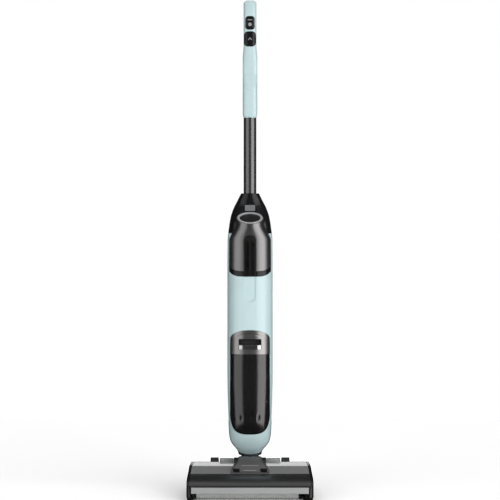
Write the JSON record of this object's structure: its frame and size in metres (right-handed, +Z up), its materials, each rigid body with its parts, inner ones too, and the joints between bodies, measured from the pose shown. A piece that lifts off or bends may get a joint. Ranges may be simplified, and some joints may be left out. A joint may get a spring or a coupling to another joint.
{
  "type": "wet dry floor scrubber",
  "caption": "Upright cordless floor washer: wide roller head on rear wheels, leaning and steering body with a clear dirty tank, thin pole and slim handle.",
  "frame": {"origin": "on the floor, under the middle of the whole model", "axes": "+Z up, -Y is the front that the roller leads, +X is the user's left when facing the front panel"},
  "size_m": [0.273, 0.262, 1.105],
  "materials": {
    "mint": "pale mint satin moulded plastic",
    "black_gloss": "polished black plastic",
    "black_matt": "fine-textured black plastic",
    "gunmetal": "glossy metallic dark grey plastic",
    "smoke": "smoked see-through plastic",
    "silver": "silver-grey metallic lacquer on plastic",
    "chrome": "bright plated plastic",
    "steel": "turned steel",
    "pole_metal": "dark anodised tube",
    "grey_plastic": "mid-grey satin plastic",
    "grey_metallic": "mid-grey metallic plastic",
    "pale_grey": "pale grey satin plastic",
    "nap": "short grey microfibre nap",
    "rubber": "soft black rubber",
    "brass": "plated contacts",
    "board": "green circuit board"
  },
  "bodies": {
    "head": {"base_tray": "black_matt", "rear_top_cover": "grey_metallic", "neck_hump": "gunmetal", "suction_duct": "black_matt", "scraper_blade": "rubber", "rear_squeegee": "rubber", "water_spray_bar": "grey_plastic", "brush_motor": "steel", "drive_belt": "rubber", "end_cap_left": "black_gloss", "end_cap_right": "black_gloss", "wheel_housing_left": "pale_grey", "wheel_housing_right": "pale_grey", "pivot_pin_left": "steel", "pivot_pin_right": "steel"},
    "cover": {"brush_cover": "black_gloss", "front_lip": "pale_grey"},
    "roller": {"roller_core": "grey_plastic", "roller_nap": "nap"},
    "drive_pulley": {"motor_pulley": "steel"},
    "wheel_left": {"tyre_left": "rubber", "hub_left": "grey_plastic"},
    "wheel_right": {"tyre_right": "rubber", "hub_right": "grey_plastic"},
    "latch_left": {"cover_latch_left": "black_gloss"},
    "latch_right": {"cover_latch_right": "black_gloss"},
    "yoke": {"recline_yoke": "black_matt", "neck_hose": "rubber"},
    "body": {"neck_socket": "black_matt", "front_shell": "mint", "rear_shell": "mint", "trim_band": "black_gloss", "upper_cover": "gunmetal", "centre_stripe": "gunmetal", "top_collar": "black_gloss", "display_ring": "silver", "display_lens": "black_gloss", "inner_frame": "black_matt", "suction_motor": "steel", "battery_pack": "black_matt", "water_pump": "grey_plastic", "control_board": "board", "exhaust_grille": "black_matt", "charging_contacts": "brass"},
    "dirty_water": {"dirty_tank": "smoke", "dirty_tank_lid": "silver", "dirty_tank_filter": "pale_grey", "tank_standpipe": "black_matt"},
    "lever": {"dirty_tank_lever": "chrome"},
    "float": {"tank_float": "pale_grey"},
    "clean_water": {"clean_tank": "smoke", "clean_tank_cap": "grey_plastic"},
    "clean_latch": {"clean_tank_latch": "grey_plastic"},
    "wand": {"pole": "pole_metal", "handle_front": "mint", "handle_back": "mint", "button_bezel": "black_gloss"},
    "release": {"pole_release": "grey_plastic"},
    "power_key": {"top_button": "black_gloss"},
    "mode_key": {"mode_button": "black_gloss"}
  },
  "joints": [
    {"name": "recline", "type": "hinge", "parent": "head", "child": "yoke", "pos_m": [0, 0.052, 0.048], "axis": [-1, 0, 0], "range_deg": [0, 80]},
    {"name": "steer", "type": "hinge", "parent": "yoke", "child": "body", "pos_m": [0, 0.052, 0.082], "axis": [0, 0, 1], "range_deg": [-35, 35]},
    {"name": "wheel_left_spin", "type": "hinge", "parent": "head", "child": "wheel_left", "pos_m": [-0.081, 0.099, 0.032], "axis": [1, 0, 0], "continuous": true},
    {"name": "wheel_right_spin", "type": "hinge", "parent": "head", "child": "wheel_right", "pos_m": [0.081, 0.099, 0.032], "axis": [1, 0, 0], "continuous": true},
    {"name": "roller_spin", "type": "hinge", "parent": "head", "child": "roller", "pos_m": [0, -0.1, 0.0194], "axis": [1, 0, 0], "continuous": true},
    {"name": "drive_pulley_spin", "type": "hinge", "parent": "head", "child": "drive_pulley", "pos_m": [0.109, -0.038, 0.026], "axis": [1, 0, 0], "continuous": true},
    {"name": "cover_lift", "type": "slide", "parent": "head", "child": "cover", "axis": [0, 0, 1], "range_m": [0, 0.06]},
    {"name": "latch_left_press", "type": "slide", "parent": "head", "child": "latch_left", "axis": [0, 1, 0], "range_m": [0, 0.0025], "stiffness_N_per_m": 800},
    {"name": "latch_right_press", "type": "slide", "parent": "head", "child": "latch_right", "axis": [0, 1, 0], "range_m": [0, 0.0025], "stiffness_N_per_m": 800},
    {"name": "dirty_tank_pull", "type": "slide", "parent": "body", "child": "dirty_water", "axis": [0, -1, 0], "range_m": [0, 0.12]},
    {"name": "lever_lift", "type": "slide", "parent": "dirty_water", "child": "lever", "axis": [0, 0, 1], "range_m": [0, 0.004], "stiffness_N_per_m": 600},
    {"name": "float_rise", "type": "slide", "parent": "dirty_water", "child": "float", "axis": [0, 0, 1], "range_m": [0, 0.008]},
    {"name": "clean_tank_pull", "type": "slide", "parent": "body", "child": "clean_water", "axis": [0, 1, 0], "range_m": [0, 0.12]},
    {"name": "clean_latch_press", "type": "slide", "parent": "clean_water", "child": "clean_latch", "axis": [0, 0, -1], "range_m": [0, 0.003], "stiffness_N_per_m": 800},
    {"name": "pole_pull", "type": "slide", "parent": "body", "child": "wand", "axis": [0, 0, 1], "range_m": [0, 0.06]},
    {"name": "pole_release_press", "type": "slide", "parent": "body", "child": "release", "axis": [0, 1, 0], "range_m": [0, 0.0025], "stiffness_N_per_m": 800},
    {"name": "power_press", "type": "slide", "parent": "wand", "child": "power_key", "axis": [0, 1, 0], "range_m": [0, 0.001], "stiffness_N_per_m": 900},
    {"name": "mode_press", "type": "slide", "parent": "wand", "child": "mode_key", "axis": [0, 1, 0], "range_m": [0, 0.001], "stiffness_N_per_m": 900}
  ],
  "couplings": [
    {"joint": "drive_pulley_spin", "follows": "roller_spin", "ratio": 1.5}
  ]
}
